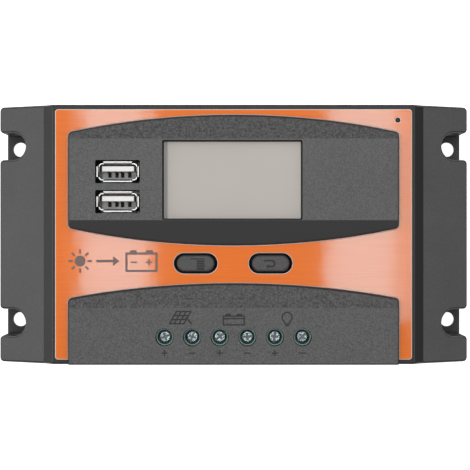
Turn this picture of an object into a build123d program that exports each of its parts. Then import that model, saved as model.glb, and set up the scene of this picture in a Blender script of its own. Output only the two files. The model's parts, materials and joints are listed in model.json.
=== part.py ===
from build123d import *
import os

os.makedirs("parts", exist_ok=True)

# Solar charge controller, in millimetres. z = 0 is the mounting plane at the back, +Z points out of
# the face, +Y towards the edge with the display and +X to the right of somebody who faces it.

# ---------------------------------------------------------------------------
# Driving dimensions
# ---------------------------------------------------------------------------
case_length = 165.0
case_width = 89.8
case_corner = 1.5
wall = 2.3
plate_thickness = 2.0

# The case seen along Y: upright ears, a shoulder, a steeper ramp and the flat face.
ear_level = 22.0
shoulder_level = 31.5
shoulder_half = 66.0
face_level = 35.0
face_half = 62.5
raised_level = 38.0
panel_wall = 2.5
edge_round = 0.8

# Mounting notches in the ears, over the holes in the back plate.
hole_spacing_x = 156.0
hole_spacing_y = 62.0
hole_radius = 2.6
notch_centre = 77.5
notch_radius = 4.7
notch_mouth = 1.4
notch_wall = 2.0

# Raised panels on the face, bounded by shallow arches.
panel_half = 56.8
panel_corner = 1.2
panel_drop = 1.8
panel_rim = 0.5
upper_top_apex = 41.0
upper_top_end = 35.0
upper_top_crease = 33.0
upper_bottom_apex = -3.5
upper_bottom_end = 2.5
upper_bottom_crease = 4.9
lower_top_apex = -17.2
lower_top_end = -22.4
lower_top_crease = -25.3

# Coloured overlay on the face.
overlay_length = 123.3
overlay_width = 86.5
overlay_corner = 1.0
overlay_thickness = 0.3
overlay_gap = 0.35
overlay_edge = 0.22

# Display.
lcd_centre = (-0.4, 18.75)
lcd_window = (48.3, 27.5)
lcd_glass_size = (56.0, 34.0)
lcd_glass_top = 35.2
lcd_glass_thickness = 2.4
backlight_size = (53.0, 31.0)
backlight_thickness = 3.0
lcd_pin_count = 20
lcd_pin_pitch = 2.54

# USB sockets.
usb_x = -39.9
usb_places = {"upper": 21.6, "lower": 11.3}
usb_window = (15.4, 8.0)
usb_body = (13.3, 5.9)
usb_lip = (14.5, 7.0)
usb_sheet = 0.35
usb_corner = 1.2
usb_flaps = (9.8, 3.6)
tongue_size = (11.1, 1.84)
tongue_inset = 0.65

# Buttons.
button_places = {"menu": -13.1, "enter": 12.8}
button_y = -10.0
button_window = (15.1, 7.1)
button_guide = (13.1, 5.6)
button_top = (12.9, 5.4)
button_flange = (17.6, 9.4)
sleeve_wall = 1.2
sleeve_bottom = 27.5

# Status light.
light_place = (56.8, 39.5)
light_hole = 0.85
light_pipe = 0.45

# Screw terminals.
terminal_count = 6
terminal_pitch = 9.5
terminal_y = -35.4
well_radius = 3.12
screw_well = 2.4
screw_head = 1.95
screw_shank = 1.75
running_gap = 0.05
screw_angles = [20, 68, 38, 4, 80, 47]
terminal_end = 0.5
block_front = -44.1
block_shoulder = -42.5
block_back = -29.8
block_top = 33.9
collar_top = 35.3
collar_radius = 2.85
well_chamfer = 0.35
block_nose_top = 30.8
shelf_top = 31.3
shelf_bottom = 30.1
bar_top = 25.3
bar_thickness = 0.8
bar_width = 4.4
cage_size = (7.2, 5.8)
cage_wall = 0.9
cage_bottom = 19.0
cage_window_bottom = 20.0
cage_window_top = 25.4
cage_top = 27.0
chamber_gap = 0.1
entry_size = (5.8, 4.6)

# Circuit board.
board_length = 122.0
board_width = 82.0
board_back = 16.4
board_front = 18.0
board_screw_places = [(-57.5, -34.0), (57.5, -34.0), (-57.5, 33.0), (57.5, 33.0)]
board_boss = 3.0
board_hole = 1.7
pilot_radius = 1.25
screw_thread = 1.2
countersink = 1.2
plate_screw_spacing = (133.0, 78.6)
plate_screw_boss = 3.4

# Power transistors, flat against the thermal pad on the back plate.
pad_thickness = 0.5
fet_columns = [-36.0, -21.0, 21.0, 36.0]
fet_hole_y = -18.0
fet_tap = 1.3
fet_pitch = 2.54

case_half = case_length / 2
width_half = case_width / 2
hole_y = hole_spacing_y / 2
terminal_xs = [(i - (terminal_count - 1) / 2) * terminal_pitch for i in range(terminal_count)]
block_length = terminal_count * terminal_pitch + 2 * terminal_end
notch_places = [(sx * notch_centre, sy * hole_y) for sx in (-1, 1) for sy in (-1, 1)]
pin_row_y = lcd_centre[1] - lcd_glass_size[1] / 2 + 0.6
room_ceiling = face_level - wall
holder_length = lcd_glass_size[0] + 3.6
holder_width = lcd_glass_size[1] + 3.4
usb_room = (18.6, 22.0)
block_room = 1.0
boss_hole_depth = 12.0
board_hole_depth = 9.0
panel_slopes = [
    (upper_top_crease, upper_top_apex),
    (upper_bottom_crease, upper_bottom_apex),
    (lower_top_crease, lower_top_apex),
]


# ---------------------------------------------------------------------------
# Shared outlines
# ---------------------------------------------------------------------------
def side_profile(bottom):
    """Face of the case seen along Y, from the given bottom level up to the face."""
    left = [
        (-case_half, bottom),
        (-case_half, ear_level),
        (-shoulder_half, shoulder_level),
        (-face_half, face_level),
    ]
    right = [(-x, z) for x, z in reversed(left)]
    with BuildLine() as outline:
        Polyline(*left, *right, close=True)
    make_face(outline.edges())


def notch_outlines(radius, reach, mode):
    """The four U-shaped outlines of the notches, from their centres out past the ears."""
    with Locations(*notch_places):
        Circle(radius, mode=mode)
    with Locations(*[((x + reach * x / abs(x) / 2), y) for x, y in notch_places]):
        Rectangle(reach, 2 * radius, mode=mode)


def slope_profile(crease, apex):
    """Wedge that is cut off a raised panel between its crease and its arched edge."""
    step = 1.5 if apex > crease else -1.5
    depth = panel_drop * (apex + step - crease) / (apex - crease)
    with BuildLine() as outline:
        Polyline(
            (crease, raised_level),
            (apex + step, raised_level - depth),
            (apex + step, raised_level + 1),
            (crease, raised_level + 1),
            close=True,
        )
    make_face(outline.edges())


# Outlines of the two raised panels.
with BuildSketch() as upper_panel:
    with BuildLine():
        ThreePointArc((-panel_half, upper_top_end), (0, upper_top_apex), (panel_half, upper_top_end))
        Line((panel_half, upper_top_end), (panel_half, upper_bottom_end))
        ThreePointArc((panel_half, upper_bottom_end), (0, upper_bottom_apex), (-panel_half, upper_bottom_end))
        Line((-panel_half, upper_bottom_end), (-panel_half, upper_top_end))
    make_face()
    fillet(upper_panel.vertices(), radius=panel_corner)

with BuildSketch() as lower_panel:
    with BuildLine():
        ThreePointArc((-panel_half, lower_top_end), (0, lower_top_apex), (panel_half, lower_top_end))
        Line((panel_half, lower_top_end), (panel_half, -width_half))
        Line((panel_half, -width_half), (-panel_half, -width_half))
        Line((-panel_half, -width_half), (-panel_half, lower_top_end))
    make_face()
    fillet(lower_panel.vertices().group_by(Axis.Y)[-1], radius=panel_corner)

# ---------------------------------------------------------------------------
# Case
# ---------------------------------------------------------------------------
with BuildPart() as back_plate:
    with BuildSketch():
        RectangleRounded(case_length, case_width, case_corner)
        with GridLocations(hole_spacing_x, hole_spacing_y, 2, 2):
            Circle(hole_radius, mode=Mode.SUBTRACT)
        with GridLocations(*plate_screw_spacing, 2, 2):
            Circle(board_hole, mode=Mode.SUBTRACT)
        with Locations(*[(x, fet_hole_y) for x in fet_columns]):
            Circle(fet_tap, mode=Mode.SUBTRACT)
    extrude(amount=plate_thickness)
    countersinks = (
        back_plate.faces().sort_by(Axis.Z)[0].edges().filter_by(GeomType.CIRCLE)
        .filter_by(lambda e: abs(e.radius - board_hole) < 0.01)
    )
    chamfer(countersinks, length=countersink)
back_plate.part.label = "back_plate"
export_step(back_plate.part, "parts/back_plate.step")

# The room inside the cover: everything within the walls except the pillars and bosses.
with BuildPart() as cover_room:
    with BuildSketch(Plane.XZ):
        side_profile(plate_thickness - wall)
        offset(amount=-wall, kind=Kind.INTERSECTION)
    extrude(amount=width_half - wall, both=True)
    with BuildSketch(Plane.XY):
        notch_outlines(notch_radius + notch_wall, 12, Mode.ADD)
        with GridLocations(*plate_screw_spacing, 2, 2):
            Circle(plate_screw_boss)
    extrude(amount=raised_level, mode=Mode.SUBTRACT)
    with BuildSketch(Plane.XY.offset(board_front)):
        with Locations(*board_screw_places):
            Circle(board_boss)
    extrude(amount=raised_level, mode=Mode.SUBTRACT)
    # Sleeves that guide the button caps.
    with BuildSketch(Plane.XY.offset(sleeve_bottom)):
        with Locations(*[(x, button_y) for x in button_places.values()]):
            SlotOverall(button_window[0] + 2 * sleeve_wall, button_window[1] + 2 * sleeve_wall)
    extrude(amount=raised_level, mode=Mode.SUBTRACT)
    # Deeper room for the display, the USB sockets and the terminal block, under the raised panels.
    with BuildSketch(Plane.XY.offset(room_ceiling - 1)):
        with Locations(lcd_centre):
            Rectangle(holder_length + 0.8, holder_width + 0.6)
        with Locations((usb_x, sum(usb_places.values()) / 2)):
            Rectangle(*usb_room)
        with Locations((0, (block_back + block_room - width_half + wall) / 2)):
            Rectangle(block_length + block_room, block_back + block_room + width_half - wall)
    extrude(amount=raised_level - panel_wall - (room_ceiling - 1))

with BuildPart() as front_cover:
    with BuildSketch(Plane.XY.offset(plate_thickness)):
        RectangleRounded(case_length, case_width, case_corner)
        notch_outlines(notch_radius, 12, Mode.SUBTRACT)
        mouths = vertices().filter_by(
            lambda v: abs(abs(v.X) - case_half) < 0.01 and abs(abs(v.Y) - hole_y) < notch_radius + 0.01
        )
        fillet(mouths, radius=notch_mouth)
    extrude(amount=raised_level)
    with BuildSketch(Plane.XZ):
        side_profile(0)
    extrude(amount=case_width, both=True, mode=Mode.INTERSECT)
    outline_edges = (
        edges().filter_by(lambda e: e.center().Z > ear_level - 0.1)
        .filter_by(lambda e: abs(e.center().Z - face_level) < 0.01 or abs(e.center().X) > face_half)
        .filter_by(lambda e: abs(e.center().Y) > 0.1 or abs(e.center().Z - shoulder_level) > 0.1)
    )
    fillet(outline_edges, radius=edge_round)

    # Raised panels with their sloping borders and rounded rims.
    with BuildSketch(Plane.XY.offset(face_level - 1)):
        add(upper_panel.sketch_local)
        add(lower_panel.sketch_local)
    extrude(amount=raised_level - face_level + 1)
    for crease, apex in panel_slopes:
        with BuildSketch(Plane.YZ):
            slope_profile(crease, apex)
        extrude(amount=panel_half + 2, both=True, mode=Mode.SUBTRACT)
    creases = [crease for crease, apex in panel_slopes]
    rims = (
        edges().filter_by(lambda e: e.center().Z > face_level + 0.5)
        .filter_by(lambda e: min(abs(e.center().Y - crease) for crease in creases) > 0.05)
        .filter_by(lambda e: abs(e.tangent_at(0.5).Z) < 0.9)
    )
    fillet(rims, radius=panel_rim)

    # Openings in the face.
    with BuildSketch(Plane.XY.offset(room_ceiling - 1)):
        with Locations(lcd_centre):
            RectangleRounded(*lcd_window, 0.6)
        for y in usb_places.values():
            with Locations((usb_x, y)):
                RectangleRounded(*usb_window, 0.5)
        with Locations(*[(x, terminal_y) for x in terminal_xs]):
            Circle(well_radius)
        with Locations(light_place):
            Circle(light_hole)
    extrude(amount=raised_level, mode=Mode.SUBTRACT)
    with BuildSketch(Plane.XY.offset(sleeve_bottom - 1)):
        with Locations(*[(x, button_y) for x in button_places.values()]):
            SlotOverall(*button_window)
    extrude(amount=raised_level, mode=Mode.SUBTRACT)
    # Opening in the lower wall for the nose of the terminal block.
    with BuildSketch(Plane.XZ.offset(width_half - wall - 1)):
        with Locations((0, (board_front + block_nose_top) / 2)):
            Rectangle(block_length + 0.4, block_nose_top - board_front + 0.4)
    extrude(amount=wall + 2, mode=Mode.SUBTRACT)
    add(cover_room.part, mode=Mode.SUBTRACT)
    # Pilot holes in the bosses.
    with BuildSketch(Plane.XY.offset(plate_thickness)):
        with GridLocations(*plate_screw_spacing, 2, 2):
            Circle(pilot_radius)
    extrude(amount=boss_hole_depth, mode=Mode.SUBTRACT)
    with BuildSketch(Plane.XY.offset(board_front)):
        with Locations(*board_screw_places):
            Circle(pilot_radius)
    extrude(amount=board_hole_depth, mode=Mode.SUBTRACT)
front_cover.part.label = "front_cover"
export_step(front_cover.part, "parts/front_cover.step")

with BuildSketch() as panel_clearance:
    add(upper_panel.sketch_local)
    add(lower_panel.sketch_local)
    offset(amount=overlay_gap)

with BuildPart() as face_overlay:
    with BuildSketch(Plane.XY.offset(face_level)):
        RectangleRounded(overlay_length, overlay_width, overlay_corner)
        add(panel_clearance.sketch_local, mode=Mode.SUBTRACT)
        for x in button_places.values():
            with Locations((x, button_y)):
                SlotOverall(*button_window, mode=Mode.SUBTRACT)
        with Locations(light_place):
            Circle(light_hole, mode=Mode.SUBTRACT)
    extrude(amount=overlay_thickness)
    chamfer(face_overlay.faces().sort_by(Axis.Z)[-1].edges(), length=overlay_edge)
face_overlay.part.label = "face_overlay"
export_step(face_overlay.part, "parts/face_overlay.step")

# ---------------------------------------------------------------------------
# Display, from the seal under the cover down to the pins in the board
# ---------------------------------------------------------------------------
glass_bottom = lcd_glass_top - lcd_glass_thickness
backlight_bottom = glass_bottom - backlight_thickness
holder_bottom = backlight_bottom - 1.5

with BuildPart() as lcd_gasket:
    with BuildSketch(Plane.XY.offset(lcd_glass_top)):
        with Locations(lcd_centre):
            Rectangle(*lcd_glass_size)
            Rectangle(lcd_window[0] - 1.0, lcd_window[1] - 1.0, mode=Mode.SUBTRACT)
    extrude(amount=raised_level - panel_wall - lcd_glass_top)
lcd_gasket.part.label = "lcd_gasket"
export_step(lcd_gasket.part, "parts/lcd_gasket.step")

with BuildPart() as lcd_glass:
    with BuildSketch(Plane.XY.offset(glass_bottom)):
        with Locations(lcd_centre):
            Rectangle(*lcd_glass_size)
    extrude(amount=lcd_glass_thickness)
lcd_glass.part.label = "lcd_glass"
export_step(lcd_glass.part, "parts/lcd_glass.step")

with BuildPart() as lcd_backlight:
    with BuildSketch(Plane.XY.offset(backlight_bottom)):
        with Locations(lcd_centre):
            RectangleRounded(*backlight_size, 1.0)
    extrude(amount=backlight_thickness)
lcd_backlight.part.label = "lcd_backlight"
export_step(lcd_backlight.part, "parts/lcd_backlight.step")

with BuildPart() as lcd_holder:
    with BuildSketch(Plane.XY.offset(holder_bottom)):
        with Locations(lcd_centre):
            RectangleRounded(holder_length, holder_width, 1.0)
    extrude(amount=lcd_glass_top - 0.6 - holder_bottom)
    with BuildSketch(Plane.XY.offset(glass_bottom - 0.05)):
        with Locations(lcd_centre):
            Rectangle(lcd_glass_size[0] + 0.2, lcd_glass_size[1] + 0.2)
    extrude(amount=lcd_glass_thickness + 1, mode=Mode.SUBTRACT)
    with BuildSketch(Plane.XY.offset(backlight_bottom)):
        with Locations(lcd_centre):
            Rectangle(backlight_size[0] + 0.2, backlight_size[1] + 0.2)
    extrude(amount=backlight_thickness, mode=Mode.SUBTRACT)
    with BuildSketch(Plane.XY.offset(holder_bottom)):
        with Locations(lcd_centre):
            Rectangle(backlight_size[0] - 6, backlight_size[1] - 5)
        with Locations((lcd_centre[0], pin_row_y + 0.2)):
            Rectangle(lcd_pin_count * lcd_pin_pitch, 1.5)
    extrude(amount=backlight_thickness + 1.5, mode=Mode.SUBTRACT)
    with BuildSketch(Plane.XY.offset(board_front)):
        with Locations(lcd_centre):
            with GridLocations(lcd_glass_size[0] - 0.8, lcd_glass_size[1] - 0.6, 2, 2):
                Circle(1.8)
    extrude(amount=holder_bottom - board_front)
lcd_holder.part.label = "lcd_holder"
export_step(lcd_holder.part, "parts/lcd_holder.step")

with BuildPart() as lcd_pins:
    with BuildSketch(Plane.XY.offset(board_back - 1.0)):
        with Locations((lcd_centre[0], pin_row_y)):
            with GridLocations(lcd_pin_pitch, 1, lcd_pin_count, 1):
                Rectangle(0.5, 0.5)
    extrude(amount=glass_bottom - board_back + 1.0)
lcd_pins.part.label = "lcd_pins"
export_step(lcd_pins.part, "parts/lcd_pins.step")

# ---------------------------------------------------------------------------
# USB sockets, standing on the board
# ---------------------------------------------------------------------------
lip_bottom = 36.0
lip_top = 37.3
usb_floor = 26.0
contact_places = (-3.5, -1.0, 1.0, 3.5)
contact_size = (1.0, 0.2)
contact_top = 34.0
contact_slot = (1.2, 1.8)
tab_width = 2.0
inner = (usb_body[0] - 2 * usb_sheet, usb_body[1] - 2 * usb_sheet)

for place, y in usb_places.items():
    with BuildPart() as usb_shell:
        with BuildSketch(Plane.XY.offset(board_front)):
            with Locations((usb_x, y)):
                RectangleRounded(*usb_body, usb_corner)
        extrude(amount=lip_bottom - board_front)
        # The mouth flares outwards in four flaps, with open corners between them.
        with BuildSketch(Plane.XY.offset(lip_bottom)):
            with Locations((usb_x, y)):
                Rectangle(*usb_body)
        with BuildSketch(Plane.XY.offset(lip_top)):
            with Locations((usb_x, y)):
                Rectangle(*usb_lip)
        loft()
        with BuildSketch(Plane.XY.offset(lip_bottom)):
            with Locations((usb_x, y)):
                Rectangle(usb_lip[0] + 1, usb_lip[1] + 1)
                Rectangle(usb_flaps[0], usb_lip[1] + 1, mode=Mode.SUBTRACT)
                Rectangle(usb_lip[0] + 1, usb_flaps[1], mode=Mode.SUBTRACT)
        extrude(amount=lip_top - lip_bottom, mode=Mode.SUBTRACT)
        with BuildSketch(Plane.XY.offset(board_front)):
            with Locations((usb_x, y)):
                RectangleRounded(*inner, usb_corner - usb_sheet)
        extrude(amount=lip_bottom - board_front, mode=Mode.SUBTRACT)
        with BuildSketch(Plane.XY.offset(lip_bottom)):
            with Locations((usb_x, y)):
                Rectangle(*inner)
        with BuildSketch(Plane.XY.offset(lip_top)):
            with Locations((usb_x, y)):
                Rectangle(usb_lip[0] - 2 * usb_sheet, usb_lip[1] - 2 * usb_sheet)
        loft(mode=Mode.SUBTRACT)
        # Two tabs that are soldered into the board.
        with BuildSketch(Plane.XY.offset(board_back - 1.0)):
            with Locations((usb_x, y)):
                with GridLocations(usb_body[0] - usb_sheet, 1, 2, 1):
                    Rectangle(usb_sheet, tab_width)
        extrude(amount=board_front - board_back + 1.0)
    usb_shell.part.label = f"usb_{place}_shell"
    export_step(usb_shell.part, f"parts/usb_{place}_shell.step")

    tongue_y = y + inner[1] / 2 - tongue_inset - tongue_size[1] / 2
    tongue_underside = tongue_y - tongue_size[1] / 2
    with BuildPart() as usb_tongue:
        with BuildSketch(Plane.XY.offset(board_front)):
            with Locations((usb_x, y)):
                RectangleRounded(inner[0] - 0.1, inner[1] - 0.1, usb_corner - usb_sheet)
        extrude(amount=usb_floor - board_front)
        # Slots from which the contacts rise.
        with BuildSketch(Plane.XY.offset(usb_floor - 4)):
            with Locations(*[(usb_x + dx, tongue_underside - contact_slot[1] / 2) for dx in contact_places]):
                Rectangle(*contact_slot)
        extrude(amount=4, mode=Mode.SUBTRACT)
        with BuildSketch(Plane.XY.offset(usb_floor)):
            with Locations((usb_x, tongue_y)):
                Rectangle(*tongue_size)
        extrude(amount=lip_bottom - 0.3 - usb_floor)
        fillet(usb_tongue.faces().sort_by(Axis.Z)[-1].edges(), radius=0.3)
    usb_tongue.part.label = f"usb_{place}_tongue"
    export_step(usb_tongue.part, f"parts/usb_{place}_tongue.step")

    with BuildPart() as usb_contacts:
        with BuildSketch(Plane.XY.offset(usb_floor)):
            with Locations(*[(usb_x + dx, tongue_underside - contact_size[1] / 2) for dx in contact_places]):
                Rectangle(*contact_size)
        extrude(amount=contact_top - usb_floor)
    usb_contacts.part.label = f"usb_{place}_contacts"
    export_step(usb_contacts.part, f"parts/usb_{place}_contacts.step")

# ---------------------------------------------------------------------------
# Buttons: a cap and the plunger under it move together, in a switch on the board
# ---------------------------------------------------------------------------
flange_top = sleeve_bottom - 0.1
flange_bottom = flange_top - 1.2
guide_top = face_level - 0.7
cap_top = 36.6
plunger_radius = 1.7
plunger_top = 25.0
plunger_bottom = 20.9
switch_top = 21.5

for use, x in button_places.items():
    with BuildPart() as button_cap:
        with BuildSketch(Plane.XY.offset(flange_bottom)):
            with Locations((x, button_y)):
                SlotOverall(*button_flange)
        extrude(amount=flange_top - flange_bottom)
        with BuildSketch(Plane.XY.offset(flange_top)):
            with Locations((x, button_y)):
                SlotOverall(*button_guide)
        extrude(amount=guide_top - flange_top)
        with BuildSketch(Plane.XY.offset(guide_top)):
            with Locations((x, button_y)):
                SlotOverall(*button_top)
        extrude(amount=cap_top - guide_top)
        fillet(button_cap.faces().sort_by(Axis.Z)[-1].edges(), radius=0.7)
        with BuildSketch(Plane.XY.offset(plunger_top)):
            with Locations((x, button_y)):
                Circle(plunger_radius + 0.5)
        extrude(amount=flange_bottom - plunger_top)
    button_cap.part.label = f"button_{use}_cap"
    export_step(button_cap.part, f"parts/button_{use}_cap.step")

    with BuildPart() as tact_base:
        with BuildSketch(Plane.XY.offset(board_front)):
            with Locations((x, button_y)):
                Rectangle(6.0, 6.0)
        extrude(amount=switch_top - board_front)
        chamfer(tact_base.edges().filter_by(Axis.Z), length=0.5)
        with BuildSketch(Plane.XY.offset(plunger_bottom - 0.5)):
            with Locations((x, button_y)):
                Circle(plunger_radius + running_gap)
        extrude(amount=switch_top, mode=Mode.SUBTRACT)
    tact_base.part.label = f"tact_{use}_base"
    export_step(tact_base.part, f"parts/tact_{use}_base.step")

    with BuildPart() as tact_plunger:
        with BuildSketch(Plane.XY.offset(plunger_bottom)):
            with Locations((x, button_y)):
                Circle(plunger_radius)
        extrude(amount=plunger_top - plunger_bottom)
    tact_plunger.part.label = f"tact_{use}_plunger"
    export_step(tact_plunger.part, f"parts/tact_{use}_plunger.step")

# ---------------------------------------------------------------------------
# Status light
# ---------------------------------------------------------------------------
led_height = 0.9

with BuildPart() as status_light_pipe:
    with BuildSketch(Plane.XY.offset(board_front + led_height + 0.2)):
        with Locations(light_place):
            Circle(1.2)
    extrude(amount=room_ceiling - board_front - led_height - 0.2)
    with BuildSketch(Plane.XY.offset(room_ceiling - 1.0)):
        with Locations(light_place):
            Circle(1.6)
    extrude(amount=1.0)
    with BuildSketch(Plane.XY.offset(room_ceiling)):
        with Locations(light_place):
            Circle(light_pipe)
    extrude(amount=face_level - room_ceiling)
    fillet(status_light_pipe.faces().sort_by(Axis.Z)[-1].edges(), radius=0.2)
status_light_pipe.part.label = "status_light_pipe"
export_step(status_light_pipe.part, "parts/status_light_pipe.step")

with BuildPart() as status_led:
    with BuildSketch(Plane.XY.offset(board_front)):
        with Locations(light_place):
            Rectangle(2.0, 1.3)
    extrude(amount=led_height)
status_led.part.label = "status_led"
export_step(status_led.part, "parts/status_led.step")

# ---------------------------------------------------------------------------
# Screw terminals: turning a screw lifts its cage against the fixed current bar
# ---------------------------------------------------------------------------
chamber = (cage_size[0] + 2 * chamber_gap, cage_size[1] + 2 * chamber_gap)
chamber_front = terminal_y - chamber[1] / 2
chamber_back = terminal_y + chamber[1] / 2
bar_bottom = bar_top - bar_thickness
entry_bottom = cage_window_bottom - running_gap
bar_end = -30.9
pin_size = (1.1, 1.0)

with BuildPart() as terminal_block:
    with BuildSketch(Plane.XY.offset(board_front)):
        with Locations((0, (block_front + block_back) / 2)):
            Rectangle(block_length, block_back - block_front)
    extrude(amount=block_nose_top - board_front)
    with BuildSketch(Plane.XY.offset(board_front)):
        with Locations((0, (block_shoulder + block_back) / 2)):
            Rectangle(block_length, block_back - block_shoulder)
    extrude(amount=block_top - board_front)
    with BuildSketch(Plane.XY.offset(block_top)):
        with Locations(*[(x, terminal_y) for x in terminal_xs]):
            Circle(collar_radius)
    extrude(amount=collar_top - block_top)
    # Chambers for the cages.
    with BuildSketch(Plane.XY.offset(cage_bottom - chamber_gap)):
        with Locations(*[(x, terminal_y) for x in terminal_xs]):
            Rectangle(*chamber)
    extrude(amount=shelf_bottom - cage_bottom + chamber_gap, mode=Mode.SUBTRACT)
    # Holes for the shanks and wells for the heads.
    with BuildSketch(Plane.XY.offset(shelf_bottom)):
        with Locations(*[(x, terminal_y) for x in terminal_xs]):
            Circle(screw_shank + running_gap)
    extrude(amount=shelf_top - shelf_bottom, mode=Mode.SUBTRACT)
    with BuildSketch(Plane.XY.offset(shelf_top)):
        with Locations(*[(x, terminal_y) for x in terminal_xs]):
            Circle(screw_well)
    extrude(amount=collar_top - shelf_top, mode=Mode.SUBTRACT)
    # Wire entries in the nose, slots for the current bars and channels for their pins.
    with BuildSketch(Plane.XZ.offset(-chamber_front)):
        with Locations(*[(x, entry_bottom + entry_size[1] / 2) for x in terminal_xs]):
            Rectangle(*entry_size)
    extrude(amount=chamber_front - block_front, mode=Mode.SUBTRACT)
    with BuildSketch(Plane.XY.offset(bar_bottom - running_gap)):
        with Locations(*[(x, (chamber_back + bar_end) / 2 + 0.05) for x in terminal_xs]):
            Rectangle(bar_width + 0.1, bar_end - chamber_back + 0.1)
    extrude(amount=bar_thickness + 2 * running_gap, mode=Mode.SUBTRACT)
    with BuildSketch(Plane.XY.offset(board_front)):
        with Locations(*[(x, bar_end - pin_size[1] / 2) for x in terminal_xs]):
            Rectangle(pin_size[0] + 0.1, pin_size[1] + 0.2)
    extrude(amount=bar_bottom - board_front, mode=Mode.SUBTRACT)
    well_rims = (
        terminal_block.edges().filter_by(GeomType.CIRCLE)
        .filter_by(lambda e: abs(e.radius - screw_well) < 0.01 and abs(e.center().Z - collar_top) < 0.01)
    )
    chamfer(well_rims, length=well_chamfer)
terminal_block.part.label = "terminal_block"
export_step(terminal_block.part, "parts/terminal_block.step")

with BuildPart() as terminal_bars:
    with BuildSketch(Plane.XY.offset(bar_bottom)):
        with Locations(*[(x, (chamber_front + 0.1 + bar_end) / 2) for x in terminal_xs]):
            Rectangle(bar_width, bar_end - chamber_front - 0.1)
    extrude(amount=bar_thickness)
    with BuildSketch(Plane.XY.offset(board_back - 1.2)):
        with Locations(*[(x, bar_end - pin_size[1] / 2) for x in terminal_xs]):
            Rectangle(*pin_size)
    extrude(amount=bar_bottom - board_back + 1.2)
terminal_bars.part.label = "terminal_bars"
export_step(terminal_bars.part, "parts/terminal_bars.step")

head_bottom = shelf_top + running_gap
head_top = 33.0
recess_depth = 0.9

for number, (x, angle) in enumerate(zip(terminal_xs, screw_angles), start=1):
    with BuildPart() as terminal_screw:
        with BuildSketch(Plane.XY.offset(bar_top + running_gap)):
            with Locations((x, terminal_y)):
                Circle(screw_shank)
        extrude(amount=head_bottom - bar_top - running_gap)
        with BuildSketch(Plane.XY.offset(head_bottom)):
            with Locations((x, terminal_y)):
                Circle(screw_head)
        extrude(amount=head_top - head_bottom)
        fillet(terminal_screw.faces().sort_by(Axis.Z)[-1].edges(), radius=0.35)
        # A long slot crossed by a short one.
        with BuildSketch(Plane.XY.offset(head_top - recess_depth)):
            with Locations((x, terminal_y)):
                Rectangle(2 * screw_head + 1, 0.75, rotation=angle)
                Rectangle(0.75, 2.5, rotation=angle)
        extrude(amount=recess_depth + 1, mode=Mode.SUBTRACT)
    terminal_screw.part.label = f"terminal_screw_{number}"
    export_step(terminal_screw.part, f"parts/terminal_screw_{number}.step")

    with BuildPart() as terminal_clamp:
        with BuildSketch(Plane.XY.offset(cage_bottom)):
            with Locations((x, terminal_y)):
                Rectangle(*cage_size)
        extrude(amount=cage_top - cage_bottom)
        with BuildSketch(Plane.XZ.offset(-terminal_y)):
            with Locations((x, (cage_window_bottom + cage_window_top) / 2)):
                Rectangle(cage_size[0] - 2 * cage_wall, cage_window_top - cage_window_bottom)
        extrude(amount=cage_size[1], both=True, mode=Mode.SUBTRACT)
        with BuildSketch(Plane.XY.offset(cage_window_top)):
            with Locations((x, terminal_y)):
                Circle(screw_shank + running_gap)
        extrude(amount=cage_top, mode=Mode.SUBTRACT)
    terminal_clamp.part.label = f"terminal_clamp_{number}"
    export_step(terminal_clamp.part, f"parts/terminal_clamp_{number}.step")

# ---------------------------------------------------------------------------
# Power transistors, lying on a thermal pad against the back plate
# ---------------------------------------------------------------------------
pad_top = plate_thickness + pad_thickness
tab_size = (10.0, 15.5, 1.3)
tab_y = fet_hole_y + 4.2
body_size = (10.0, 9.0, 3.2)
body_y = tab_y + (tab_size[1] - body_size[1]) / 2
lead_level = pad_top + 2.2
lead_size = 0.7
lead_row_y = body_y + body_size[1] / 2 + 3.0
lead_places = [(x + i * fet_pitch, lead_row_y) for x in fet_columns for i in (-1, 0, 1)]
tab_hole = 1.8
fet_head = (2.7, 1.9)
fet_recess = (3.2, 0.8)

with BuildPart() as thermal_pad:
    with BuildSketch(Plane.XY.offset(plate_thickness)):
        with Locations((0, tab_y)):
            Rectangle(fet_columns[-1] - fet_columns[0] + 14, tab_size[1] + 2)
        with Locations(*[(x, fet_hole_y) for x in fet_columns]):
            Circle(tab_hole, mode=Mode.SUBTRACT)
    extrude(amount=pad_thickness)
thermal_pad.part.label = "thermal_pad"
export_step(thermal_pad.part, "parts/thermal_pad.step")

with BuildPart() as mosfet_tabs:
    with BuildSketch(Plane.XY.offset(pad_top)):
        with Locations(*[(x, tab_y) for x in fet_columns]):
            Rectangle(tab_size[0], tab_size[1])
        with Locations(*[(x, fet_hole_y) for x in fet_columns]):
            Circle(tab_hole, mode=Mode.SUBTRACT)
    extrude(amount=tab_size[2])
mosfet_tabs.part.label = "mosfet_tabs"
export_step(mosfet_tabs.part, "parts/mosfet_tabs.step")

with BuildPart() as mosfet_bodies:
    with BuildSketch(Plane.XY.offset(pad_top + tab_size[2])):
        with Locations(*[(x, body_y) for x in fet_columns]):
            Rectangle(body_size[0], body_size[1])
    extrude(amount=body_size[2])
    chamfer(mosfet_bodies.faces().filter_by(Axis.Z).group_by(Axis.Z)[-1].edges(), length=0.4)
mosfet_bodies.part.label = "mosfet_bodies"
export_step(mosfet_bodies.part, "parts/mosfet_bodies.step")

with BuildPart() as mosfet_leads:
    with BuildSketch(Plane.XY.offset(lead_level)):
        with Locations(*[(x, (y + body_y + body_size[1] / 2) / 2) for x, y in lead_places]):
            Rectangle(lead_size, lead_row_y - body_y - body_size[1] / 2)
    extrude(amount=lead_size)
    with BuildSketch(Plane.XY.offset(lead_level)):
        with Locations(*lead_places):
            Rectangle(lead_size, lead_size)
    extrude(amount=board_front + 0.6 - lead_level)
mosfet_leads.part.label = "mosfet_leads"
export_step(mosfet_leads.part, "parts/mosfet_leads.step")

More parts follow.
